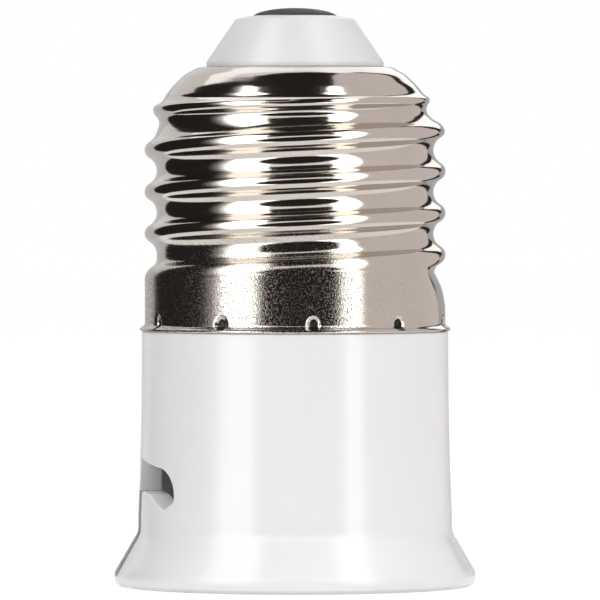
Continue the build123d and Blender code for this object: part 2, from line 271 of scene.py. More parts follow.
# Materials: noise in features per metre, depth of grain in metres
NOISE_SPAN = (0.3, 0.7)  # where nearly all of the noise lies
METAL_PATCH_DETAIL = 4.0
METAL_GLOSS_STEP = 3  # the gloss drifts this many times finer than the colour
PLASTIC_IOR = 1.64
PLASTIC_MOTTLE = 60.0
PLASTIC_MOTTLE_DETAIL = 3.0
PLASTIC_GLOSS = 240.0
GLOSS_DETAIL = 3.0
GRAIN_DETAIL = 2.0
METALS = {  # patches, dark and light colour, roughness, grain, its depth
    # painted shade: the dark bottoms of the crimp holes
    "crimp_hole_shade": (90.0, (0.03, 0.028, 0.026), (0.06, 0.055, 0.05), (0.4, 0.55), 6000.0, 4e-6),
    "tinned_contact": (400.0, (0.10, 0.098, 0.10), (0.17, 0.168, 0.17), (0.28, 0.42), 3500.0, 6e-6),
    "contact_brass": (90.0, (0.66, 0.45, 0.19), (0.78, 0.57, 0.27), (0.14, 0.26), 4200.0, 2e-6),
    "spring_steel": (90.0, (0.40, 0.40, 0.41), (0.52, 0.52, 0.53), (0.18, 0.30), 6000.0, 1e-6),
    "screw_steel": (90.0, (0.48, 0.49, 0.50), (0.60, 0.60, 0.60), (0.22, 0.34), 5000.0, 2e-6),
    "tinned_wire": (90.0, (0.55, 0.53, 0.50), (0.66, 0.64, 0.60), (0.25, 0.38), 6000.0, 2e-6),
}
PLASTICS = {  # dark and light colour, roughness, grain, its depth
    "white_plastic": ((0.80, 0.80, 0.815), (0.83, 0.83, 0.842), (0.17, 0.24), 700.0, 1.2e-6),
    # painted shade: the same white moulding drawn grey inside the bore and on the entry's walls
    "painted_shade_plastic": ((0.44, 0.44, 0.435), (0.50, 0.50, 0.495), (0.45, 0.6), 1800.0, 3e-6),
    "insulator_plastic": ((0.70, 0.70, 0.71), (0.74, 0.74, 0.745), (0.28, 0.4), 2500.0, 2e-6),
    "carrier_plastic": ((0.60, 0.58, 0.53), (0.66, 0.64, 0.59), (0.42, 0.55), 3000.0, 4e-6),
}
TIN_TINT = (0.4, 0.4, 0.4, 1)
NICKEL_PATCHES = 90.0
NICKEL_DARK = (0.60, 0.555, 0.50)
NICKEL_LIGHT = (0.68, 0.63, 0.575)
NICKEL_ROUGH = (0.09, 0.48)  # clean plate, dull pit
NICKEL_GRAIN = 9000.0
NICKEL_GRAIN_DEPTH = 11e-6
PIT_SCALE = 8200.0
PIT_DETAIL = 1.0
PIT_SPAN = (0.52, 0.67)
PIT_STAIN = (0.3, 0.28, 0.26, 1)
PITS_UP = ((0.0262, 0.0315), 0.12)  # pits and grain thin out over these metres, to this share
PITS_RIGHT = ((0.0048, 0.0066), 0.2)

# Studio: white all round, dark and grey panels out of the camera's sight, two soft boxes, a pale floor.
# A panel's outline is a row of (angle round from the camera's side to the right, tilt up from the eye).
WHITE = (1.0, 1.0, 1.0)
GLOWS = {  # colour and strength
    "dark_panel": ((0.02, 0.018, 0.017), 1.0),
    "grey_panel": ((0.74, 0.68, 0.67), 1.0),
    "soft_box": (WHITE, 2.75),
    "right_soft_box": (WHITE, 2.9),
    "back_panel": ((0.62, 0.62, 0.62), 1.0),
    "right_back_panel": ((0.48, 0.47, 0.47), 1.0),
    "left_back_panel": ((0.78, 0.77, 0.77), 1.0),
    "bright_panel": (WHITE, 1.4),
    "pale_pedestal": (WHITE, 1.0),
}
PANEL_EYE = 33.0  # its height on the axis
DARK_DISTANCE = 600
FRONT_DISTANCE = 520
GREY_DISTANCE = 640
SOFT_DISTANCE = 560
BEHIND_DISTANCE = 660
CEILING_HEIGHT = 2600
PEDESTAL_RADIUS = 65.0
PEDESTAL_SIDES = 64
OVAL_SIDES = 48
STRIP_PIECES = 8
LEFT_DARK = (
    (-137, -31), (-137, 0), (-134, 25), (-131, 38), (-128, 50), (-121, 63), (-118, 68),
    (-75, 68), (-70, 30), (-64, 0), (-64, -31), (-90, -31), (-115, -31),
)
FRONT_DARK = ((-30, 37), (-27, 27))  # an oval's angles and tilts
BACK_EDGE = ((144, -31), (144, 27), (149, 33), (154, 41), (156, 50))
RIGHT_DARK = (
    *BACK_EDGE, (159, 50), (159.5, 41), (158, 33), (155, 27), (155, 8),
    (144.5, 2), (144.5, -4), (155, -10), (155, -31),
)
RIGHT_GREY = (
    *BACK_EDGE, (157, 56), (135, 66), (115, 71), (91, 69), (66, 66), (46, 60),
    (46, 0), (46, -31), (75, -31), (110, -31),
)
DARK_CEILING = (
    (0, 40), (30, 41), (60, 46), (90, 51), (120, 55), (150, 57), (171, 59), (-175, 64),
    (-160, 69), (-135, 72), (-118, 68), (-100, 60), (-60, 46), (-30, 41),
)
LEFT_SOFT = ((-50, -14, -27), (-93, -42, 66))  # a strip's low and high edge: two angles and their tilt
RIGHT_SOFT = ((20, 45, -27), (52, 90, 69))
SOFT_EDGE_STEP = 4.0  # the left soft box fades out in steps this wide
SOFT_EDGE_LEVELS = (1.1, 0.55, 0.22, 0.08)
BEHIND = (  # strips behind the part: low and high edge, glow
    ("grey_behind", (180, 223, -31), (180, 223, 13), "back_panel"),
    ("right_behind", (140, 180, -31), (140, 180, 13), "right_back_panel"),
    ("bright_behind", (150, 180, 13), (150, 180, 57), "bright_panel"),
    ("left_behind", (180, 226, 13), (180, 231, 42), "left_back_panel"),
    ("high_left_behind", (180, 231, 42), (180, 234, 58), "bright_panel"),
)
FLOOR_HALF = 3000.0
FLOOR_DROP = 0.02
FLOOR_COLOUR = (0.86, 0.86, 0.86, 1)
FLOOR_ROUGHNESS = 0.9
FLOOR_GLOW = 1.14
FLOOR_GLOW_SHARE = 0.8
AMBIENT = 0.49  # how bright the white surroundings are for the light that falls on surfaces
FILL_DISTANCE = 600.0
FILL_SIZE = 400.0
FILLS = (("front_fill", 12, 35, 0.5), ("back_fill", 185, 20, 0.6))  # angle, tilt and power

# Camera at the photograph's angle: a long lens a little above the part's middle
CAMERA_DISTANCE = 700.0
CAMERA_HEIGHT = 36.0
AIM_HEIGHT = 24.87
AIM_SIDE = 0.43
VIEW_WIDTH = 52.17
SENSOR_WIDTH = 36.0
CLIP_START = 10.0
CLIP_END = 20000.0


def rounded(corners, closed=False, step=ARC_STEP):
    """Polyline through corners given as (x, y, radius), each turned into an arc of its radius."""
    points = []
    count = len(corners)
    for i, (x, y, radius) in enumerate(corners):
        ends = not closed and i in (0, count - 1)
        if ends or radius == 0:
            points.append((x, y))
            continue
        corner = Vector((x, y))
        before = (Vector(corners[i - 1][:2]) - corner).normalized()
        after = (Vector(corners[(i + 1) % count][:2]) - corner).normalized()
        half = before.angle(after) / 2
        reach = radius / tan(half)
        centre = corner + (before + after).normalized() * (radius / sin(half))
        start = corner + before * reach - centre
        turn = start.angle_signed(corner + after * reach - centre)
        pieces = max(FEWEST_PIECES, ceil(abs(turn) * radius / step))
        first = atan2(start.y, start.x)
        for k in range(pieces + 1):
            angle = first - turn * k / pieces
            points.append((centre.x + radius * cos(angle), centre.y + radius * sin(angle)))
    return points


def bezier(controls, pieces):
    """Points along a Bezier curve."""
    rows = [Vector(c) for c in controls]
    points = []
    for k in range(pieces + 1):
        level = rows
        while len(level) > 1:
            level = [a.lerp(b, k / pieces) for a, b in zip(level, level[1:])]
        points.append(tuple(level[0]))
    return points


def run_along(line):
    """Length along a polyline at each of its points."""
    return np.concatenate(([0], np.cumsum(np.hypot(*np.diff(line, axis=0).T))))


def resample(points, spacing, closed=False):
    """Points along a polyline about this far apart, keeping its first and last point."""
    line = np.array(points + points[:1] if closed else points, float)
    along = run_along(line)
    count = max(FEWEST_SPACES, ceil(along[-1] / spacing))
    wanted = np.linspace(0, along[-1], count + 1)
    if closed:
        wanted = wanted[:-1]
    x, y = (np.interp(wanted, along, axis) for axis in line.T)
    return list(zip(x.tolist(), y.tolist()))


def share(value, full):
    """How much of a full value is reached, from 0 to 1."""
    return np.clip(value / full, 0, 1)


def full_turn(count, first=0.0):
    """Even angles round a circle, in radians."""
    return [first + 2 * pi * j / count for j in range(count)]


def new_object(name, data):
    """Object in the scene for a mesh, lamp or camera."""
    thing = bpy.data.objects.new(name, data)
    bpy.context.scene.collection.objects.link(thing)
    return thing


class Shape:
    """Vertices and faces of one piece, in millimetres, joined where they meet."""

    def __init__(self):
        self.points = []
        self.faces = []
        self.finishes = []
        self.finish = 0

    def add(self, points):
        """New points; their numbers."""
        first = len(self.points)
        self.points.extend(points)
        return list(range(first, len(self.points)))

    def cover(self, faces):
        """New faces in the finish that is set now, which counts the piece's materials."""
        self.faces.extend(faces)
        self.finishes.extend([self.finish] * len(faces))

    def loft(self, rows):
        """Quads between rows of points, each a closed ring."""
        rings = [self.add(row) for row in rows]
        size = len(rings[0])
        for low, high in zip(rings, rings[1:]):
            for j in range(size):
                k = (j + 1) % size
                self.cover([(low[j], low[k], high[k], high[j])])

    def patch(self, points, faces):
        """New points with the faces between them."""
        ids = self.add(points)
        self.cover([tuple(ids[i] for i in face) for face in faces])

    def build(self, name, *materials, smooth_angle=SMOOTH_ANGLE):
        """The piece as a Blender object."""
        mesh = bpy.data.meshes.new(name)
        mesh.from_pydata([Vector(p) * MM for p in self.points], [], self.faces)
        for material in materials:
            mesh.materials.append(material)
        mesh.polygons.foreach_set("material_index", self.finishes)
        work = bmesh.new()
        work.from_mesh(mesh)
        bmesh.ops.remove_doubles(work, verts=work.verts, dist=WELD * MM)
        bmesh.ops.dissolve_degenerate(work, edges=work.edges, dist=SLIVER * MM)
        bmesh.ops.recalc_face_normals(work, faces=work.faces)
        work.to_mesh(mesh)
        work.free()
        mesh.shade_smooth()
        mesh.set_sharp_from_angle(angle=radians(smooth_angle))
        return new_object(name, mesh)


def ring(radius, height, angles, centre=(0, 0)):
    """Points of a circle at these angles, in radians."""
    return [(centre[0] + radius * cos(a), centre[1] + radius * sin(a), height) for a in angles]


def circle(radius, angles, centre=(0, 0)):
    """The same seen from above."""
    return [point[:2] for point in ring(radius, 0, angles, centre)]


def turned_piece(name, profile, columns, material, centre=(0, 0)):
    """Piece made by turning a line of (radius, height) about an upright axis."""
    angles = full_turn(columns)
    shape = Shape()
    shape.loft([ring(r, z, angles, centre) for r, z in profile])
    return shape.build(name, material)


def triangulated(loops, inner):
    """Triangles between a first loop and the later loops, which are holes, with extra points inside."""
    points, edges = [], []
    for loop in loops:
        first = len(points)
        points.extend(loop)
        edges.extend((first + k, first + (k + 1) % len(loop)) for k in range(len(loop)))
    points.extend(inner)
    made = delaunay_2d_cdt([Vector(p) for p in points], edges, [], HULL_OUTPUT, SAME_POINT, False)
    spots = np.array([tuple(v) for v in made[0]])
    faces = [tuple(f) for f in made[2]]
    centres = np.array([spots[list(f)].mean(axis=0) for f in faces])
    keep = inside(centres, loops[0])
    for hole in loops[1:]:
        keep &= ~inside(centres, hole)
    return spots, [f for f, k in zip(faces, keep) if k]


def inside(points, loop):
    """Which points lie inside a closed loop."""
    x, y = np.asarray(points, float).T
    found = np.zeros(len(x), bool)
    for (x0, y0), (x1, y1) in zip(loop, loop[1:] + loop[:1]):
        if y0 != y1:
            crosses = (y0 > y) != (y1 > y)
            found ^= crosses & (x < (x1 - x0) * (y - y0) / (y1 - y0) + x0)
    return found


def spread(loop, distance):
    """A closed loop moved outwards by a distance."""
    line = np.array(loop, float)
    along = np.roll(line, -1, axis=0) - np.roll(line, 1, axis=0)
    along /= np.hypot(*along.T)[:, None]
    area = np.sum(line[:, 0] * np.roll(line[:, 1], -1) - np.roll(line[:, 0], -1) * line[:, 1])
    outward = np.stack([along[:, 1], -along[:, 0]], axis=1) * np.sign(area)
    return [tuple(p) for p in line + outward * distance]


def shell_rows():
    """Radii and heights of the shell's rows of points, closer together at the crimp marks and thread."""
    corners = [
        (lip_radius - LIP_FOLD, skirt_foot, 0),
        (lip_radius, skirt_foot, LIP_ROUNDING),
        (lip_radius, skirt_foot + LIP_HEIGHT, LIP_ROUNDING),
        (SKIRT_RADIUS, skirt_foot + SKIRT_START, SKIRT_START_ROUNDING),
        *SKIRT_TAPER,
        GROOVE_FOOT,
        *SHOULDER_FOOT,
        SHOULDER_TURN,
        SHOULDER_EDGE,
        (END_EDGE_RADIUS, shell_top, END_EDGE_ROUNDING),
        (END_HOLE_RADIUS, shell_top, 0),
    ]
    line = np.array(resample(rounded(corners, step=FINE_STEP), SHELL_SPACING))
    radius, height = line.T
    along = run_along(line)
    near_crimp = height < skirt_foot + CRIMP_ZONE
    in_thread = (height > THREAD_ZONE[0]) & (height < THREAD_ZONE[1])
    density = np.where(near_crimp, CRIMP_ROWS, np.where(in_thread, THREAD_ROWS, PLAIN_ROWS))
    rows_so_far = np.concatenate(([0], np.cumsum(density[1:] * np.diff(along))))
    even = np.linspace(0, rows_so_far[-1], int(rows_so_far[-1]))
    rows = np.interp(even, rows_so_far, along)
    return np.interp(rows, along, radius), np.interp(rows, along, height)


def shell_columns(crimps):
    """Angles of the shell's columns of points, closer together at the crimp marks, in radians."""
    even = np.linspace(0, 2 * pi, SHELL_COLUMNS, endpoint=False)
    close = np.linspace(-CRIMP_REACH, CRIMP_REACH, CRIMP_COLUMNS) / SKIRT_RADIUS
    marked = [(crimp + close) % (2 * pi) for crimp in crimps]
    return np.unique(np.round(np.concatenate([even] + marked), ANGLE_DIGITS))


def thread_height(away, crest_rounding):
    """Height of the thread over its root, this far from the crest: two arcs that meet on the flank."""
    depth = CREST_RADIUS - ROOT_RADIUS
    half_pitch = THREAD_PITCH / 2
    flank = 2 * atan2(depth, half_pitch)
    root_rounding = half_pitch / sin(flank) - crest_rounding
    on_crest = away < crest_rounding * sin(flank)
    from_root = np.where(on_crest, 0, half_pitch - away)
    from_crest = np.where(on_crest, away, 0)
    crest = depth - crest_rounding + np.sqrt(crest_rounding**2 - from_crest**2)
    root = root_rounding - np.sqrt(root_rounding**2 - from_root**2)
    return np.where(on_crest, crest, root)


def threaded(r, z, angle):
    """Radii with the round ridge raised on the root and the skirt drawn up to its first crest."""
    filled = np.interp(np.degrees(angle), FILL_ANGLES, (0, 1, 1, 0))
    filled = filled**2 * (3 - 2 * filled)  # a smooth step
    raised = np.zeros_like(r)
    for lap in range(THREAD_LAPS):
        turn = lap + angle / (2 * pi)
        past = np.clip(turn - LEVEL_FROM_TURN, 0, LEVEL_TURNS)
        climbed = np.minimum(turn, LEVEL_FROM_TURN) + past - past**2 / (2 * LEVEL_TURNS)
        fade = np.interp(turn, FADE_TURNS, (1, FADE_LOW, 0)) * np.interp(turn, START_TURNS, (0, 1))
        first = filled * (lap == 0)
        over = z - THREAD_START - THREAD_PITCH * climbed + FIRST_DROP * first
        upper_width = np.interp(turn, UPPER_TURNS, UPPER_WIDTHS)
        width = np.where(over > 0, upper_width, FADE_WIDTH + (1 - FADE_WIDTH) * fade)
        away = np.minimum(np.abs(over) / width, THREAD_PITCH / 2)
        rounding = CREST_ROUNDING + (FIRST_ROUNDING - CREST_ROUNDING) * first * (over > 0)
        raised = np.maximum(raised, fade * thread_height(away, rounding))
    ridge = np.minimum(r, ROOT_RADIUS) + raised
    first_crest = THREAD_START + THREAD_PITCH * angle / (2 * pi) - FIRST_DROP * filled
    below_crest = share(first_crest + FILL_OVER - z, FILL_EDGE)
    r = r + np.maximum(SKIRT_RADIUS - r, 0) * filled * below_crest
    blend = SKIRT_BLEND * share(r - ROOT_RADIUS, BLEND_DEPTH) * share(z - BLEND_FROM, BLEND_RISE)
    blended = (r + ridge + np.sqrt((r - ridge) ** 2 + blend**2)) / 2
    return np.where(z > BLEND_FROM, blended, r)


def crimped(r, z, angle, crimps):
    """Radii with the crimp marks pressed in, and how far each point lies in a mark's hole, where the
    painted shade goes.
    """
    up = z - skirt_foot
    rise = np.clip((up - CRIMP_STRAIGHT) / (CRIMP_TOP - CRIMP_STRAIGHT), 0, None)
    slope = share(up - CRIMP_FOOT, CRIMP_FOOT_SLOPE)
    pressed = np.zeros_like(r)
    for crimp in crimps:
        across = ((angle - crimp + pi) % (2 * pi) - pi) * SKIRT_RADIUS
        reach = np.hypot(across / CRIMP_HALF_WIDTH, rise)
        edge = share(1 - reach, CRIMP_EDGE)
        hole = share(CRIMP_HOLE - reach, CRIMP_HOLE_SLOPE)
        r = r - (CRIMP_EDGE_DEPTH * edge + CRIMP_DEPTH * hole) * slope
        pressed = np.maximum(pressed, np.where(up > HOLE_SHADE_FOOT, hole, 0))
    return r, pressed


def shell_inside():
    """Inside of the sheet as (radius, height), from the end hole down to the lip."""
    skirt_inside = SKIRT_RADIUS - SHEET - INSIDE_PLAY
    return [
        (END_HOLE_RADIUS, shell_top),
        (END_HOLE_RADIUS, shell_top - SHEET),
        (END_INSIDE_RADIUS, shell_top - SHEET),
        *((r - SHEET, z - SHEET) for r, z, _ in (SHOULDER_EDGE, *SHOULDER_FOOT[::-1])),
        *((r - SHEET, z) for r, z, _ in (GROOVE_FOOT, *SKIRT_TAPER[::-1])),
        (skirt_inside, skirt_foot + CRIMP_ZONE),
        (skirt_inside, skirt_foot + INSIDE_FOOT),
        (lip_radius - LIP_FOLD, skirt_foot),
    ]


def shell_piece(material, hole_shade_material):
    """Screw shell: lip, crimped skirt, round thread that fades out, shoulder and end hole."""
    crimps = np.radians(CRIMP_FIRST_ANGLE + 360 / CRIMP_COUNT * np.arange(CRIMP_COUNT))
    radius, height = shell_rows()
    columns = shell_columns(crimps)
    z, angle = np.meshgrid(height, columns, indexing="ij")
    r = threaded(np.repeat(radius[:, None], len(columns), axis=1), z, angle)
    r, pressed = crimped(r, z, angle, crimps)
    outer = np.stack([r * np.cos(angle), r * np.sin(angle), z], axis=2)
    shape = Shape()
    shape.loft([[tuple(p) for p in row] for row in outer])
    # the crimp holes' bottoms take the dark material, which is painted shade
    shape.finishes = [int(depth > HOLE_SHADE_FROM) for depth in pressed[:-1].ravel()]
    shape.loft([ring(r_in, z_in, columns) for r_in, z_in in shell_inside()])
    return shape.build("nickel_screw_shell", material, hole_shade_material)


def body_outside():
    """Outside of the socket body as (radius, height), from its foot up to the skirt."""
    rim = bezier([(FOOT_OUTER, 0), (rim_radius, 0), (rim_radius, RIM_EDGE)], RIM_PIECES)
    flare_end = (BODY_FOOT_RADIUS, FLARE_TOP + FLARE_RUN)
    flare = rounded(
        [
            (rim_radius, RIM_EDGE, 0),
            (rim_radius, FLARE_FOOT, RIM_BLEND),
            (BODY_FOOT_RADIUS, FLARE_TOP, FLARE_BLEND),
            (*flare_end, 0),
        ],
        step=FLARE_STEP,
    )
    wall_middle = (BODY_TOP_RADIUS, (FLARE_TOP + skirt_foot) / 2)
    wall_end = (BODY_TOP_RADIUS, skirt_foot - BODY_EDGE_START)
    wall = bezier([flare_end, wall_middle, wall_end], WALL_PIECES)
    return np.array(rim + flare[1:] + wall[1:])


def bore_inside():
    """Inside of the socket body as (radius, height), from its foot up to the step in the bore."""
    mouth_start = (BORE_RADIUS, BORE_MOUTH + BORE_MOUTH_RUN)
    mouth = bezier([mouth_start, (BORE_RADIUS, BORE_MOUTH), MOUTH_UPPER], MOUTH_PIECES)
    mouth += bezier([MOUTH_LOWER, (FOOT_INNER, 0), (FOOT_INNER + FOOT_EASE, 0)], FOOT_PIECES)
    return np.array(mouth[::-1] + [(BORE_RADIUS, BORE_STEP_HEIGHT)])


def radius_at(line, height):
    """Radius of a wall's line at a height."""
    order = np.argsort(line[:, 1], kind="stable")
    return float(np.interp(height, line[order, 1], line[order, 0]))


def slot_point(pull, across, height, radius):
    """Point at this radius, seen straight along a slot's pull."""
    forward = sqrt(radius**2 - across**2)
    angle = radians(pull)
    x = forward * cos(angle) - across * sin(angle)
    y = forward * sin(angle) + across * cos(angle)
    return (x, y, height)


def slotted_wall(shape, line, angles, outline):
    """Wall with both slots left open, triangulated flat by turn and by run along its line."""
    line = line[np.argsort(line[:, 1], kind="stable")]
    run = run_along(line)
    rows = np.linspace(0, run[-1], ceil(run[-1] / WALL_ROW) + 1)
    turn = [a * BODY_FOOT_RADIUS for a in (*angles, angles[0] + 2 * pi)]
    border = [(t, 0.0) for t in turn]
    border += [(turn[-1], s) for s in rows[1:]]
    border += [(t, rows[-1]) for t in turn[-2::-1]]
    border += [(turn[0], s) for s in rows[-2:0:-1]]
    holes = []
    for pull in SLOT_PULLS:
        loop = []
        for across, height in spread(outline, SLOT_EDGE):
            angle = radians(pull) + asin(across / radius_at(line, height))
            loop.append((angle * BODY_FOOT_RADIUS, float(np.interp(height, line[:, 1], run))))
        holes.append(loop)
    inner = [(t, s) for t in turn[1:-1] for s in rows[1:-1]]
    clear = np.ones(len(inner), bool)
    for loop in holes:
        clear &= ~inside(inner, spread(loop, SLOT_CLEARANCE))
    spots, faces = triangulated([border] + holes, [p for p, c in zip(inner, clear) if c])
    radius = np.interp(spots[:, 1], run, line[:, 0])
    height = np.interp(spots[:, 1], run, line[:, 1])
    angle = spots[:, 0] / BODY_FOOT_RADIUS
    points = np.stack([radius * np.cos(angle), radius * np.sin(angle), height], axis=1)
    shape.patch([tuple(p) for p in points], faces)


def slot_sides(shape, pull, outside, bore, outline):
    """A slot's sides through the wall, with rounded edges; the entry's are painted in shade with the grey
    plastic.
    """
    bends = [radians(90 * k / SLOT_EDGE_STEPS) for k in range(SLOT_EDGE_STEPS + 1)]
    levels = [(SLOT_EDGE * (1 - sin(b)), outside, -SLOT_EDGE * (1 - cos(b))) for b in bends]
    levels += [(SLOT_EDGE * (1 - cos(b)), bore, SLOT_EDGE * (1 - sin(b))) for b in bends]
    rows = []
    for edge, line, deep in levels:
        loop = spread(outline, edge)
        rows.append([slot_point(pull, x, h, radius_at(line, h) + deep) for x, h in loop])
    first_face = len(shape.faces)
    shape.loft(rows)
    # painted shade on the entry's walls below the ledge
    in_shade = [across < SHADE_ACROSS and height < SHADE_UP for across, height in outline]
    shape.finishes[first_face:] = [PAINTED_SHADE if w else SKIN for w in in_shade] * (len(rows) - 1)


def body_upper(outside, band_top, neck_bore, floor_top):
    """The body over its slots as (radius, height): wall, edge under the skirt, neck and its inside."""
    line = [band_top, *(tuple(p) for p in outside if p[1] > SLOT_BAND_TOP + SLOT_BAND_GAP)]
    edge = [
        (BODY_TOP_RADIUS, skirt_foot - BODY_EDGE_START, 0),
        (BODY_TOP_RADIUS, skirt_foot, BODY_EDGE_ROUNDING),
        (NECK_RADIUS, skirt_foot, 0),
    ]
    line += rounded(edge, step=FINE_STEP)[1:]
    neck = [(r - SHEET - NECK_PLAY, z) for r, z, _ in SKIRT_TAPER]
    neck[-1] = (neck[-1][0], neck_top)
    return line + neck + [(neck_bore, neck_top), (neck_bore, floor_top)]


def body_floor(shape, angles, neck_bore, floor_top):
    """Floor between bore and neck, with holes for the sleeves and a boss for the screw."""
    small = full_turn(HOLE_COLUMNS)
    sleeves = [contact_centre(angle) for angle in (NEUTRAL_ANGLE, LIVE_ANGLE)]
    sides = ((floor_height, UPPER_BORE, SCREW_HOLE), (floor_top, neck_bore, SCREW_BOSS))
    for height, rim, screw in sides:
        holes = [circle(SLEEVE_HOLE, small, centre) for centre in sleeves] + [circle(screw, small)]
        spots, faces = triangulated([circle(rim, angles)] + holes, [])
        shape.patch([(x, y, height) for x, y in spots], faces)
    for centre in sleeves:
        shape.loft([ring(SLEEVE_HOLE, z, small, centre) for z in (floor_height, floor_top)])
    boss_top = floor_top + SCREW_BOSS_HEIGHT
    boss = [
        (SCREW_BOSS, floor_top),
        (SCREW_BOSS, boss_top),
        (SCREW_HOLE, boss_top),
        (SCREW_HOLE, floor_height),
    ]
    shape.loft([ring(r, z, small) for r, z in boss])


def body_piece(material, shade_material):
    """Socket body: flared moulding with hooked slots, floor and neck."""
    outside = body_outside()
    bore = bore_inside()
    outline = resample(rounded(SLOT_OUTLINE, closed=True), SLOT_SPACING, closed=True)
    angles = full_turn(BODY_COLUMNS, radians(BODY_SEAM))
    neck_bore = NECK_RADIUS - NECK_WALL
    floor_top = floor_height + FLOOR_THICKNESS
    band_top = (radius_at(outside, SLOT_BAND_TOP), SLOT_BAND_TOP)
    band = np.vstack([outside[outside[:, 1] < SLOT_BAND_TOP], [band_top]])

    shape = Shape()
    slotted_wall(shape, band, angles, outline)
    # the bore and its step are drawn in the grey plastic as painted shade
    shape.finish = PAINTED_SHADE
    slotted_wall(shape, bore, angles, outline)
    for pull in SLOT_PULLS:
        slot_sides(shape, pull, outside, bore, outline)
    step = [(BORE_RADIUS, BORE_STEP_HEIGHT), (UPPER_BORE, BORE_STEP_HEIGHT), (UPPER_BORE, floor_height)]
    shape.loft([ring(r, z, angles) for r, z in step])
    shape.finish = SKIN
    shape.loft([ring(r, z, angles) for r, z in body_upper(outside, band_top, neck_bore, floor_top)])
    shape.loft([ring(r, 0, angles) for r in (FOOT_INNER + FOOT_EASE, FOOT_OUTER)])
    body_floor(shape, angles, neck_bore, floor_top)
    return shape.build("white_socket_body", material, shade_material)


def contact_centre(angle):
    """Where the sprung contact at this angle stands, seen from above."""
    return (CONTACT_OFFSET * cos(radians(angle)), CONTACT_OFFSET * sin(radians(angle)))


def insulator_piece(material):
    """White cone with soft edges, clamped in the shell's end hole."""
    profile = rounded(
        [
            (CONE_HOLE, insulator_low.z, 0),
            (insulator_high.x, insulator_low.z, 0.2),
            (insulator_high.x, shell_top - SHEET, 0.1),
            (CONE_COLLAR, shell_top - SHEET, 0),
            (CONE_COLLAR, shell_top, 0),
            (CONE_FLANGE, shell_top, 0.12),
            (CONE_FLANGE, shell_top + CONE_FLANGE_HEIGHT, 0.25),
            *((radius, insulator_top - depth, rounding) for radius, depth, rounding in CONE_TOP_CORNERS),
            (CONE_HOLE, insulator_top, 0),
            (CONE_HOLE, insulator_low.z, 0),
        ],
        step=CONE_STEP,
    )
    return turned_piece("white_tip_insulator", profile, CONE_COLUMNS, material)


def contact_piece(material):
    """Domed rivet head on its shank."""
    dome_top = contact_high.z - DOME_WEAR
    bulge = (RIVET_BULGE[0], insulator_top + RIVET_BULGE[1])
    head = [(RIVET_HEAD, insulator_top), bulge, (RIVET_CROWN, dome_top), (0, dome_top)]
    profile = [(0.0, contact_low.z), (RIVET_SHANK, contact_low.z), (RIVET_SHANK, insulator_top)]
    profile += bezier(head, RIVET_PIECES)
    return turned_piece("tip_contact", profile, RIVET_COLUMNS, material)


def plunger_piece(name, angle, node, material):
    """Pin with a round nose in front of a thicker guide."""
    low, high = box_mm(node)
    guide = (high.x - low.x) / 2
    pin = guide - PIN_STEP
    seat = high.z - GUIDE_LENGTH
    nose = [(0, low.z), (NOSE_FLAT, low.z), (pin, low.z + NOSE_EASE), (pin, low.z + NOSE_LENGTH)]
    profile = bezier(nose, NOSE_PIECES)
    profile += rounded(
        [
            (pin, seat - PIN_STEP, 0),
            (pin, seat, 0),
            (guide, seat, 0.12),
            (guide, high.z, 0.15),
            (0, high.z, 0),
        ],
        step=FINE_STEP,
    )
    return turned_piece(name, profile, CONTACT_COLUMNS, material, contact_centre(angle))


def sleeve_piece(name, angle, node, material):
    """Drawn brass sleeve with a rolled-in mouth and a closed end."""
    low, high = box_mm(node)
    profile = rounded(
        [
            (SLEEVE_MOUTH, low.z, 0.12),
            (SLEEVE_RADIUS, low.z, 0.15),
            (SLEEVE_RADIUS, high.z, 0.3),
            (0, high.z, 0),
            (0, high.z - SLEEVE_END, 0),
            (SLEEVE_BORE, high.z - SLEEVE_END, 0.1),
            (SLEEVE_BORE, low.z + SLEEVE_END, 0),
            (SLEEVE_MOUTH, low.z + SLEEVE_END, 0.12),
        ],
        closed=True,
        step=FINE_STEP,
    )
    return turned_piece(name, profile + profile[:1], CONTACT_COLUMNS, material, contact_centre(angle))


def spring_piece(name, angle, node, material):
    """Coil of round wire with closed ends."""
    low, high = box_mm(node)
    coil = (high.x - low.x) / 2 - WIRE_RADIUS
    open_turns = COIL_TURNS - 2 * COIL_CLOSED
    open_height = high.z - low.z - 2 * WIRE_RADIUS - 4 * WIRE_RADIUS * COIL_CLOSED
    x, y = contact_centre(angle)
    rows = []
    for k in range(COIL_STEPS + 1):
        turn = COIL_TURNS * k / COIL_STEPS
        opened = min(max(turn - COIL_CLOSED, 0), open_turns) / open_turns
        closed = 2 * WIRE_RADIUS * (min(turn, COIL_CLOSED) + max(turn - COIL_TURNS + COIL_CLOSED, 0))
        z = low.z + WIRE_RADIUS + closed + opened * open_height
        heading = 2 * pi * turn
        row = []
        for bend in full_turn(WIRE_SIDES):
            r = coil + WIRE_RADIUS * cos(bend)
            row.append((x + r * cos(heading), y + r * sin(heading), z + WIRE_RADIUS * sin(bend)))
        rows.append(row)
    shape = Shape()
    shape.loft(rows)
    last = len(shape.points)
    shape.cover([tuple(range(WIRE_SIDES)), tuple(range(last - WIRE_SIDES, last))])
    return shape.build(name, material, smooth_angle=WIRE_SMOOTH_ANGLE)


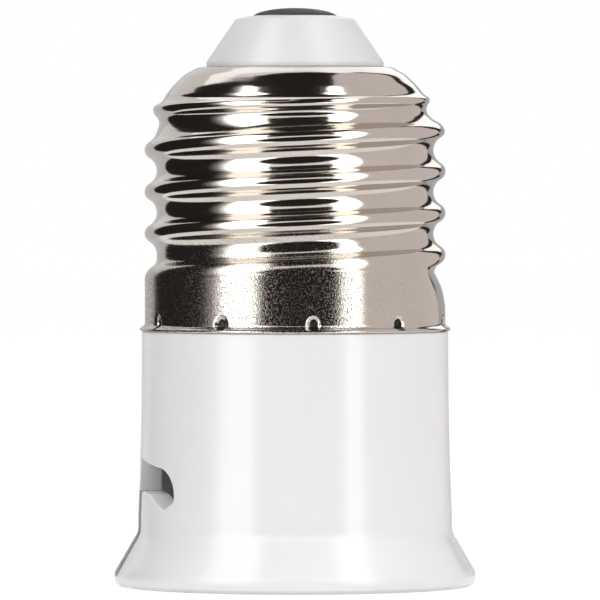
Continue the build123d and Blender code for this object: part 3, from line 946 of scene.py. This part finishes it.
class Tree:
    """Node tree of a material or of the world."""

    def __init__(self, owner):
        owner.use_nodes = True
        self.nodes = owner.node_tree.nodes
        self.links = owner.node_tree.links

    def link(self, source, target):
        """Joins two sockets."""
        self.links.new(source, target)

    def node(self, kind, **values):
        """New shader node with some of its inputs set."""
        made = self.nodes.new("ShaderNode" + kind)
        for name, value in values.items():
            made.inputs[name].default_value = value
        return made

    def own_place(self):
        """The piece's own coordinates, in metres."""
        return self.node("TexCoord").outputs["Object"]

    def noise(self, scale, detail):
        """Noise over the piece's own coordinates, in features per metre."""
        texture = self.node("TexNoise", Scale=scale, Detail=detail)
        self.link(self.own_place(), texture.inputs["Vector"])
        return texture.outputs["Fac"]

    def ranged(self, value, span, target):
        """A value taken from one range to another, and held at its ends."""
        ends = zip(("From Min", "From Max", "To Min", "To Max"), (*span, *target))
        fitted = self.node("MapRange", **dict(ends))
        self.link(value, fitted.inputs["Value"])
        return fitted.outputs["Result"]

    def ramped(self, value, low, high):
        """Noise turned into a colour between two others."""
        ramp = self.node("ValToRGB")
        for stop, position, colour in zip(ramp.color_ramp.elements, NOISE_SPAN, (low, high)):
            stop.position = position
            stop.color = (*colour, 1)
        self.link(value, ramp.inputs["Fac"])
        return ramp.outputs["Color"]

    def fading(self, axis, span, faint):
        """1 below a span on one of the piece's own axes, in metres, falling to a faint value above it."""
        axes = self.node("SeparateXYZ")
        self.link(self.own_place(), axes.inputs["Vector"])
        return self.ranged(axes.outputs[axis], span, (1.0, faint))

    def math(self, operation, first, second):
        """Two values combined; the second may be a plain number."""
        combined = self.node("Math")
        combined.operation = operation
        self.link(first, combined.inputs[0])
        if isinstance(second, float):
            combined.inputs[1].default_value = second
        else:
            self.link(second, combined.inputs[1])
        return combined.outputs["Value"]

    def bump(self, shader, value, depth):
        """Relief of this depth, in metres, on the shader; the socket of its strength."""
        relief = self.node("Bump", Distance=depth)
        self.link(value, relief.inputs["Height"])
        self.link(relief.outputs["Normal"], shader.inputs["Normal"])
        return relief.inputs["Strength"]

    def mixed(self, factor, first, second):
        """Two shaders mixed."""
        mix = self.node("MixShader")
        for source, target in zip((factor, first, second), mix.inputs):
            self.link(source, target)
        return mix.outputs["Shader"]

    def seen_directly(self):
        """1 for rays that show the surroundings: camera, glossy and transmission."""
        path = self.node("LightPath")
        total = path.outputs["Is Camera Ray"]
        for name in ("Is Glossy Ray", "Is Transmission Ray"):
            total = self.math("MAXIMUM", total, path.outputs[name])
        return total

    def surface(self, source):
        """Gives the material its surface."""
        self.link(source, self.nodes["Material Output"].inputs["Surface"])


def new_material(name):
    """Material with its node tree and its Principled shader."""
    material = bpy.data.materials.new(name)
    tree = Tree(material)
    return material, tree, tree.nodes["Principled BSDF"]


def drifting(name, patches, detail, gloss_patches, low, high, rough, grain, grain_depth):
    """Material whose colour and gloss drift a little, with a fine grain; its shader."""
    material, tree, shader = new_material(name)
    colour = tree.ramped(tree.noise(patches, detail), low, high)
    gloss = tree.ranged(tree.noise(gloss_patches, GLOSS_DETAIL), NOISE_SPAN, rough)
    tree.link(colour, shader.inputs["Base Color"])
    tree.link(gloss, shader.inputs["Roughness"])
    tree.bump(shader, tree.noise(grain, GRAIN_DETAIL), grain_depth)
    return material, shader


def metal(name, patches, *look):
    """Metal in faint patches."""
    material, shader = drifting(name, patches, METAL_PATCH_DETAIL, patches * METAL_GLOSS_STEP, *look)
    shader.inputs["Metallic"].default_value = 1.0
    return material


def plastic(name, *look):
    """Moulded plastic with a faint mottle and a skin that is not quite flat."""
    material, shader = drifting(name, PLASTIC_MOTTLE, PLASTIC_MOTTLE_DETAIL, PLASTIC_GLOSS, *look)
    shader.inputs["IOR"].default_value = PLASTIC_IOR
    return material


def plated(name):
    """Nickel plate: bright, warm, with a fine grain and tiny dull pits that fade up the thread."""
    material, tree, shader = new_material(name)
    shader.inputs["Metallic"].default_value = 1.0
    clean = tree.ramped(tree.noise(NICKEL_PATCHES, METAL_PATCH_DETAIL), NICKEL_DARK, NICKEL_LIGHT)
    grainy = tree.math("MULTIPLY", tree.fading("Z", *PITS_UP), tree.fading("X", *PITS_RIGHT))
    pits = tree.ranged(tree.noise(PIT_SCALE, PIT_DETAIL), PIT_SPAN, (0.0, 1.0))
    dull = tree.math("MULTIPLY", pits, grainy)
    tree.link(tree.ranged(dull, (0.0, 1.0), NICKEL_ROUGH), shader.inputs["Roughness"])
    stained = tree.node("Mix")
    stained.data_type = "RGBA"
    stained.blend_type = "MULTIPLY"
    stained.inputs["B"].default_value = PIT_STAIN
    tree.link(dull, stained.inputs["Factor"])
    tree.link(clean, stained.inputs["A"])
    tree.link(stained.outputs["Result"], shader.inputs["Base Color"])
    strength = tree.bump(shader, tree.noise(NICKEL_GRAIN, GRAIN_DETAIL), NICKEL_GRAIN_DEPTH)
    tree.link(grainy, strength)
    return material


def place(piece, body, node):
    """A new piece rides on a body and stands for a CAD node."""
    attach(piece, body)
    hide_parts(node)


def place_contact(side, angle):
    """Sprung contact: a pin on its own body, its sleeve, and a coil with a mesh of its own."""
    brass = looks["contact_brass"]
    plunger = plunger_piece(f"{side}_contact_pin", angle, f"{side}_plunger", brass)
    place(plunger, f"{side}_contact", f"{side}_plunger")
    sleeve = sleeve_piece(f"{side}_contact_sleeve", angle, f"{side}_sleeve", brass)
    place(sleeve, "adapter", f"{side}_sleeve")
    spring = spring_piece(f"{side}_coil", angle, f"{side}_spring", looks["spring_steel"])
    place(spring, "adapter", f"{side}_spring")
    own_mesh(spring)


def emitting(name, colour, strength):
    """Plain glowing surface."""
    material, tree, shader = new_material(name)
    tree.nodes.remove(shader)
    glow = tree.node("Emission", Color=(*colour, 1), Strength=strength)
    tree.surface(glow.outputs["Emission"])
    return material


def card(name, corners, material):
    """A card of the studio: seen by the part's surfaces, not by the camera."""
    shape = Shape()
    shape.patch(corners, [tuple(range(len(corners)))])
    piece = shape.build(name, material)
    piece.visible_camera = False
    piece.visible_shadow = False
    return piece


def around(angle, reach, height):
    """Point at this angle round from the camera's side."""
    turn = radians(angle - 90)
    return (reach * cos(turn), reach * sin(turn), height)


def wall_card(name, outline, material, distance):
    """Upright card at a distance from the axis."""
    corners = [around(a, distance, PANEL_EYE + distance * tan(radians(tilt))) for a, tilt in outline]
    return card(name, corners, material)


def roof_card(name, outline, material, height):
    """Level card overhead."""
    corners = [around(a, (height - PANEL_EYE) / tan(radians(tilt)), height) for a, tilt in outline]
    return card(name, corners, material)


def oval(angles, tilts):
    """Outline of an oval between two angles and two tilts."""
    points = []
    for turn in full_turn(OVAL_SIDES):
        angle = (angles[0] + angles[1]) / 2 + (angles[1] - angles[0]) / 2 * cos(turn)
        tilt = (tilts[0] + tilts[1]) / 2 + (tilts[1] - tilts[0]) / 2 * sin(turn)
        points.append((angle, tilt))
    return points


def strip(low, high):
    """Outline between a low and a high edge, each given as (angle, angle, tilt)."""
    shares = [k / STRIP_PIECES for k in range(STRIP_PIECES + 1)]
    points = [(low[0] + (low[1] - low[0]) * k, low[2]) for k in shares]
    points += [(high[1] + (high[0] - high[1]) * k, high[2]) for k in shares]
    return points


def add_panels():
    """The panels, soft boxes, ceiling and pedestal that the gloss mirrors."""
    glows = {name: emitting(name, *glow) for name, glow in GLOWS.items()}
    dark = glows["dark_panel"]
    wall_card("left_dark", LEFT_DARK, dark, DARK_DISTANCE)
    wall_card("front_dark", oval(*FRONT_DARK), dark, FRONT_DISTANCE)
    wall_card("right_dark", RIGHT_DARK, dark, DARK_DISTANCE)
    wall_card("right_grey", RIGHT_GREY, glows["grey_panel"], GREY_DISTANCE)
    wall_card("left_soft_box", strip(*LEFT_SOFT), glows["soft_box"], SOFT_DISTANCE)
    for k, level in enumerate(SOFT_EDGE_LEVELS):
        edges = []
        for angle, _, tilt in LEFT_SOFT:
            inner = angle - SOFT_EDGE_STEP * k
            edges.append((inner - SOFT_EDGE_STEP, inner, tilt))
        fainter = emitting(f"soft_edge_{k}", WHITE, level)
        wall_card(f"left_soft_edge_{k}", strip(*edges), fainter, SOFT_DISTANCE)
    wall_card("right_soft_box", strip(*RIGHT_SOFT), glows["right_soft_box"], SOFT_DISTANCE)
    for name, low, high, glow in BEHIND:
        panel = wall_card(name, strip(low, high), glows[glow], BEHIND_DISTANCE)
        panel.visible_diffuse = False
    roof_card("dark_ceiling", DARK_CEILING, dark, CEILING_HEIGHT)
    pedestal_ring = ring(PEDESTAL_RADIUS, 0, full_turn(PEDESTAL_SIDES))
    pedestal = card("pale_pedestal", pedestal_ring, glows["pale_pedestal"])
    pedestal.visible_diffuse = False


def floor_finish():
    """White where it is seen, with the part's shadow left on it; plain in the mouth, clear from below."""
    material, tree, shader = new_material("pale_floor")
    shader.inputs["Base Color"].default_value = FLOOR_COLOUR
    shader.inputs["Roughness"].default_value = FLOOR_ROUGHNESS
    glow = tree.node("Emission", Strength=FLOOR_GLOW)
    from_axis = tree.node("VectorMath")
    from_axis.operation = "LENGTH"
    tree.link(tree.own_place(), from_axis.inputs[0])
    outside_mouth = tree.math("GREATER_THAN", from_axis.outputs["Value"], FOOT_INNER * MM)
    glowing = tree.math("MULTIPLY", tree.seen_directly(), FLOOR_GLOW_SHARE)
    glowing = tree.math("MULTIPLY", glowing, outside_mouth)
    above = tree.mixed(glowing, shader.outputs["BSDF"], glow.outputs["Emission"])
    from_below = tree.node("NewGeometry").outputs["Backfacing"]
    clear = tree.node("BsdfTransparent").outputs["BSDF"]
    tree.surface(tree.mixed(from_below, above, clear))
    return material


def add_floor():
    """Pale floor just under the part."""
    half = FLOOR_HALF * MM
    corners = [(-half, -half, 0), (half, -half, 0), (half, half, 0), (-half, half, 0)]
    mesh = bpy.data.meshes.new("pale_floor")
    mesh.from_pydata(corners, [], [(0, 1, 2, 3)])
    mesh.materials.append(floor_finish())
    floor = new_object("pale_floor", mesh)
    floor.location.z = -FLOOR_DROP * MM
    floor.visible_glossy = False


def add_world():
    """White surroundings, dimmer for the light that falls on surfaces."""
    world = bpy.data.worlds.new("studio")
    bpy.context.scene.world = world
    tree = Tree(world)
    background = tree.nodes["Background"]
    background.inputs["Color"].default_value = (*WHITE, 1)
    level = tree.ranged(tree.seen_directly(), (0.0, 1.0), (AMBIENT, 1.0))
    tree.link(level, background.inputs["Strength"])


def point_at(thing, target):
    """Turns a lamp or camera to look at a place, given in metres."""
    thing.rotation_euler = (target - thing.location).to_track_quat("-Z", "Y").to_euler()


def add_fill(name, angle, tilt, power):
    """Soft lamp that leaves no mark on the gloss."""
    lamp = bpy.data.lights.new(name, "AREA")
    lamp.energy = power
    lamp.size = FILL_SIZE * MM
    fill = new_object(name, lamp)
    turn, rise = radians(angle - 90), radians(tilt)
    direction = Vector((cos(rise) * cos(turn), cos(rise) * sin(turn), sin(rise)))
    fill.location = direction * FILL_DISTANCE * MM
    fill.location.z += PANEL_EYE * MM
    point_at(fill, Vector((0, 0, PANEL_EYE * MM)))
    fill.visible_glossy = False
    fill.visible_camera = False


def add_camera():
    """The photograph's camera."""
    camera_data = bpy.data.cameras.new("camera")
    camera_data.sensor_width = SENSOR_WIDTH
    camera_data.lens = SENSOR_WIDTH * CAMERA_DISTANCE / VIEW_WIDTH
    camera_data.clip_start = CLIP_START * MM
    camera_data.clip_end = CLIP_END * MM
    camera = new_object("camera", camera_data)
    camera.location = Vector((AIM_SIDE, -CAMERA_DISTANCE, CAMERA_HEIGHT)) * MM
    point_at(camera, Vector((AIM_SIDE, 0, AIM_HEIGHT)) * MM)
    bpy.context.scene.camera = camera


looks = {"nickel_plate": plated("nickel_plate")}
looks.update({name: metal(name, *values) for name, values in METALS.items()})
looks.update({name: plastic(name, *values) for name, values in PLASTICS.items()})
tin = looks["tinned_contact"]
tin.node_tree.nodes["Principled BSDF"].inputs["Specular Tint"].default_value = TIN_TINT

shell = shell_piece(looks["nickel_plate"], looks["crimp_hole_shade"])
place(shell, "adapter", "screw_shell")
socket_body = body_piece(looks["white_plastic"], looks["painted_shade_plastic"])
place(socket_body, "adapter", "socket_body")
place(insulator_piece(looks["insulator_plastic"]), "adapter", "tip_insulator")
place(contact_piece(tin), "adapter", "centre_contact")
place_contact("live", LIVE_ANGLE)
place_contact("neutral", NEUTRAL_ANGLE)

kept_nodes = {
    "contact_carrier": "carrier_plastic",
    "carrier_screw": "screw_steel",
    "live_lead": "tinned_wire",
    "neutral_lead": "tinned_wire",
}
for node, look in kept_nodes.items():
    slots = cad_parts[node].data.materials
    slots.clear()
    slots.append(looks[look])

add_panels()
add_floor()
add_world()
for fill_lamp in FILLS:
    add_fill(*fill_lamp)
add_camera()

bpy.context.scene.view_settings.view_transform = "Standard"
